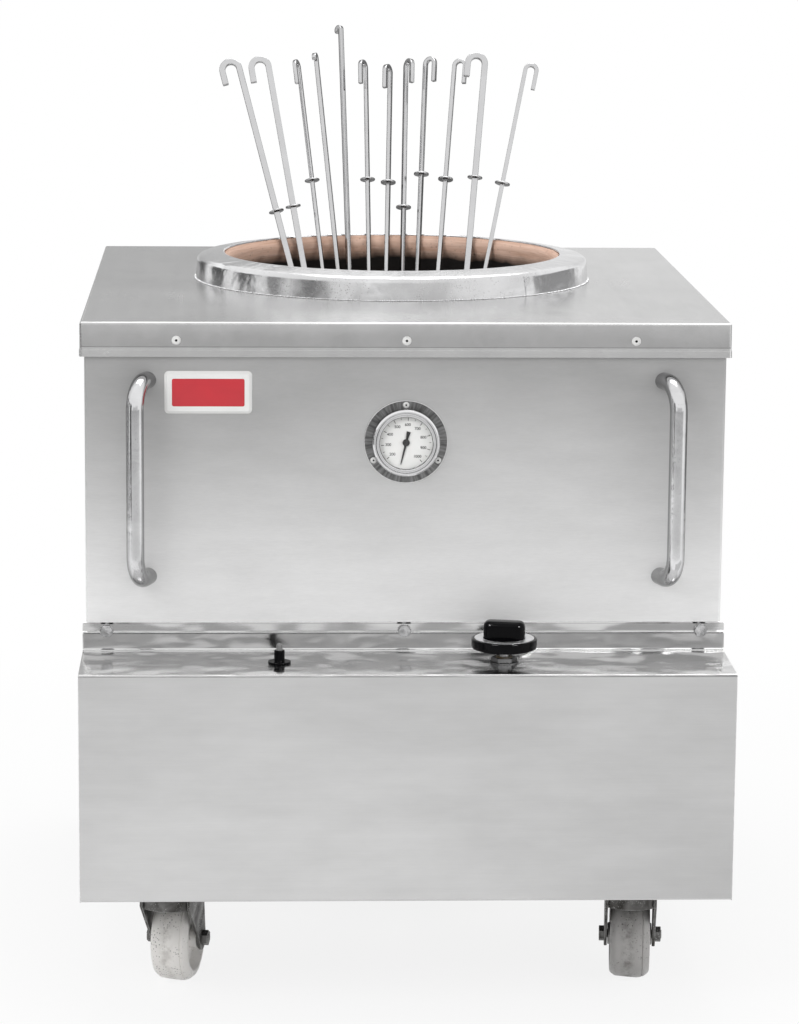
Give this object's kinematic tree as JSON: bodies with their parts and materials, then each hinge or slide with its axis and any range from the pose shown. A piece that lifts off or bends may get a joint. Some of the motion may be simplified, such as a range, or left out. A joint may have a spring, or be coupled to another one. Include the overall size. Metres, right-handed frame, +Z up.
{
  "type": "clay tandoor oven",
  "caption": "Gas clay tandoor in a square stainless cabinet on swivel casters, with a collared mouth, a front control box, handles, a thermometer and hooked skewers.",
  "frame": {"origin": "on the floor under the middle of the whole oven", "axes": "+Z up, +Y to the back, where the gas inlet is, +X to the right-hand side of someone facing the front"},
  "size_m": [0.867, 1.081, 1.2604],
  "materials": {
    "stainless": "satin",
    "collar_steel": "satin",
    "rivet_white": "satin",
    "clay": "matte",
    "fibre": "matte",
    "mild_steel": "matte",
    "bright_steel": "satin",
    "polished_tube": "polished",
    "badge_white": "gloss",
    "gauge_steel": "polished",
    "dial_white": "satin",
    "lens": "gloss",
    "pointer_black": "satin",
    "cast_iron": "matte",
    "brass": "satin",
    "knob_black": "gloss",
    "button_grey": "satin",
    "zinc": "satin",
    "wheel_white": "satin",
    "wheel_grey": "satin",
    "skewer_steel": "satin"
  },
  "bodies": {
    "root": {"cabinet_shell": "stainless", "front_panel": "stainless", "lid": "stainless", "mouth_collar": "collar_steel", "lid_rivets": "rivet_white", "clay_pot": "clay", "insulation": "fibre", "pot_shelf": "mild_steel", "base_frame": "mild_steel", "control_box": "stainless", "flange_bolts": "bright_steel", "left_handle": "polished_tube", "right_handle": "polished_tube", "handle_screws": "bright_steel", "badge_plate": "badge_white", "thermometer_case": "gauge_steel", "thermometer_dial": "dial_white", "thermometer_lens": "lens", "thermometer_probe": "bright_steel", "thermometer_screws": "bright_steel", "burner": "cast_iron", "heat_spreader": "cast_iron", "gas_valve": "brass", "valve_nut": "bright_steel", "supply_pipe": "brass", "burner_pipe": "brass", "gas_inlet": "brass", "pilot": "bright_steel", "igniter_body": "knob_black", "caster_plates": "zinc", "caster_bolts": "zinc"},
    "pointer": {"thermometer_pointer": "pointer_black"},
    "knob": {"control_knob": "knob_black", "knob_ring": "bright_steel", "valve_spindle": "brass"},
    "button": {"igniter_button": "button_grey"},
    "fork_front_left": {"fork_front_left": "zinc", "axle_front_left": "zinc"},
    "wheel_front_left": {"wheel_front_left": "wheel_white"},
    "fork_front_right": {"fork_front_right": "zinc", "axle_front_right": "zinc"},
    "wheel_front_right": {"wheel_front_right": "wheel_grey"},
    "fork_rear_left": {"fork_rear_left": "zinc", "axle_rear_left": "zinc"},
    "wheel_rear_left": {"wheel_rear_left": "wheel_white"},
    "fork_rear_right": {"fork_rear_right": "zinc", "axle_rear_right": "zinc"},
    "wheel_rear_right": {"wheel_rear_right": "wheel_grey"},
    "skewer_1": {"skewer_1": "skewer_steel"},
    "skewer_2": {"skewer_2": "skewer_steel"},
    "skewer_3": {"skewer_3": "skewer_steel"},
    "skewer_4": {"skewer_4": "skewer_steel"},
    "skewer_5": {"skewer_5": "skewer_steel"},
    "skewer_6": {"skewer_6": "skewer_steel"},
    "skewer_7": {"skewer_7": "skewer_steel"},
    "skewer_8": {"skewer_8": "skewer_steel"},
    "skewer_9": {"skewer_9": "skewer_steel"},
    "skewer_10": {"skewer_10": "skewer_steel"},
    "skewer_11": {"skewer_11": "skewer_steel"},
    "skewer_12": {"skewer_12": "skewer_steel"}
  },
  "joints": [
    {"name": "pointer_turn", "type": "hinge", "parent": "root", "child": "pointer", "pos_m": [0, -0.3975, 0.754], "axis": [0, 1, 0], "range_deg": [0, 308]},
    {"name": "knob_turn", "type": "hinge", "parent": "root", "child": "knob", "pos_m": [0.129, -0.4655, 0.49], "axis": [0, 0, 1], "range_deg": [0, 180]},
    {"name": "igniter_press", "type": "slide", "parent": "root", "child": "button", "axis": [0, 0, -1], "range_m": [0, 0.006], "stiffness_N_per_m": 600, "springref_m": -0.003},
    {"name": "swivel_front_left", "type": "hinge", "parent": "root", "child": "fork_front_left", "pos_m": [-0.313, -0.3805, 0.129], "axis": [0, 0, 1], "continuous": true},
    {"name": "roll_front_left", "type": "hinge", "parent": "fork_front_left", "child": "wheel_front_left", "pos_m": [-0.3049, -0.34542, 0.06], "axis": [0.9744, -0.225, 0], "continuous": true},
    {"name": "swivel_front_right", "type": "hinge", "parent": "root", "child": "fork_front_right", "pos_m": [0.313, -0.3805, 0.129], "axis": [0, 0, 1], "continuous": true},
    {"name": "roll_front_right", "type": "hinge", "parent": "fork_front_right", "child": "wheel_front_right", "pos_m": [0.31614, -0.34464, 0.06], "axis": [0.9962, -0.0872, 0], "continuous": true},
    {"name": "swivel_rear_left", "type": "hinge", "parent": "root", "child": "fork_rear_left", "pos_m": [-0.313, 0.4205, 0.129], "axis": [0, 0, 1], "continuous": true},
    {"name": "roll_rear_left", "type": "hinge", "parent": "fork_rear_left", "child": "wheel_rear_left", "pos_m": [-0.3049, 0.45558, 0.06], "axis": [0.9744, -0.225, 0], "continuous": true},
    {"name": "swivel_rear_right", "type": "hinge", "parent": "root", "child": "fork_rear_right", "pos_m": [0.313, 0.4205, 0.129], "axis": [0, 0, 1], "continuous": true},
    {"name": "roll_rear_right", "type": "hinge", "parent": "fork_rear_right", "child": "wheel_rear_right", "pos_m": [0.3211, 0.45558, 0.06], "axis": [0.9744, -0.225, 0], "continuous": true},
    {"name": "lift_skewer_1", "type": "slide", "parent": "root", "child": "skewer_1", "axis": [-0.2435, 0.3315, 0.9115], "range_m": [0, 0.66]},
    {"name": "lift_skewer_2", "type": "slide", "parent": "root", "child": "skewer_2", "axis": [-0.1704, 0.2606, 0.9503], "range_m": [0, 0.66]},
    {"name": "lift_skewer_3", "type": "slide", "parent": "root", "child": "skewer_3", "axis": [-0.1112, 0.3564, 0.9277], "range_m": [0, 0.66]},
    {"name": "lift_skewer_4", "type": "slide", "parent": "root", "child": "skewer_4", "axis": [-0.0995, 0.2928, 0.951], "range_m": [0, 0.66]},
    {"name": "lift_skewer_5", "type": "slide", "parent": "root", "child": "skewer_5", "axis": [-0.0275, 0.3666, 0.93], "range_m": [0, 0.66]},
    {"name": "lift_skewer_6", "type": "slide", "parent": "root", "child": "skewer_6", "axis": [-0.0093, 0.3881, 0.9216], "range_m": [0, 0.66]},
    {"name": "lift_skewer_7", "type": "slide", "parent": "root", "child": "skewer_7", "axis": [0.0264, 0.4031, 0.9148], "range_m": [0, 0.66]},
    {"name": "lift_skewer_8", "type": "slide", "parent": "root", "child": "skewer_8", "axis": [0.0251, 0.3813, 0.9241], "range_m": [0, 0.66]},
    {"name": "lift_skewer_9", "type": "slide", "parent": "root", "child": "skewer_9", "axis": [0.0466, 0.3757, 0.9256], "range_m": [0, 0.66]},
    {"name": "lift_skewer_10", "type": "slide", "parent": "root", "child": "skewer_10", "axis": [0.0878, 0.4205, 0.903], "range_m": [0, 0.66]},
    {"name": "lift_skewer_11", "type": "slide", "parent": "root", "child": "skewer_11", "axis": [0.0941, 0.3287, 0.9397], "range_m": [0, 0.66]},
    {"name": "lift_skewer_12", "type": "slide", "parent": "root", "child": "skewer_12", "axis": [0.2028, 0.3086, 0.9293], "range_m": [0, 0.66]}
  ]
}
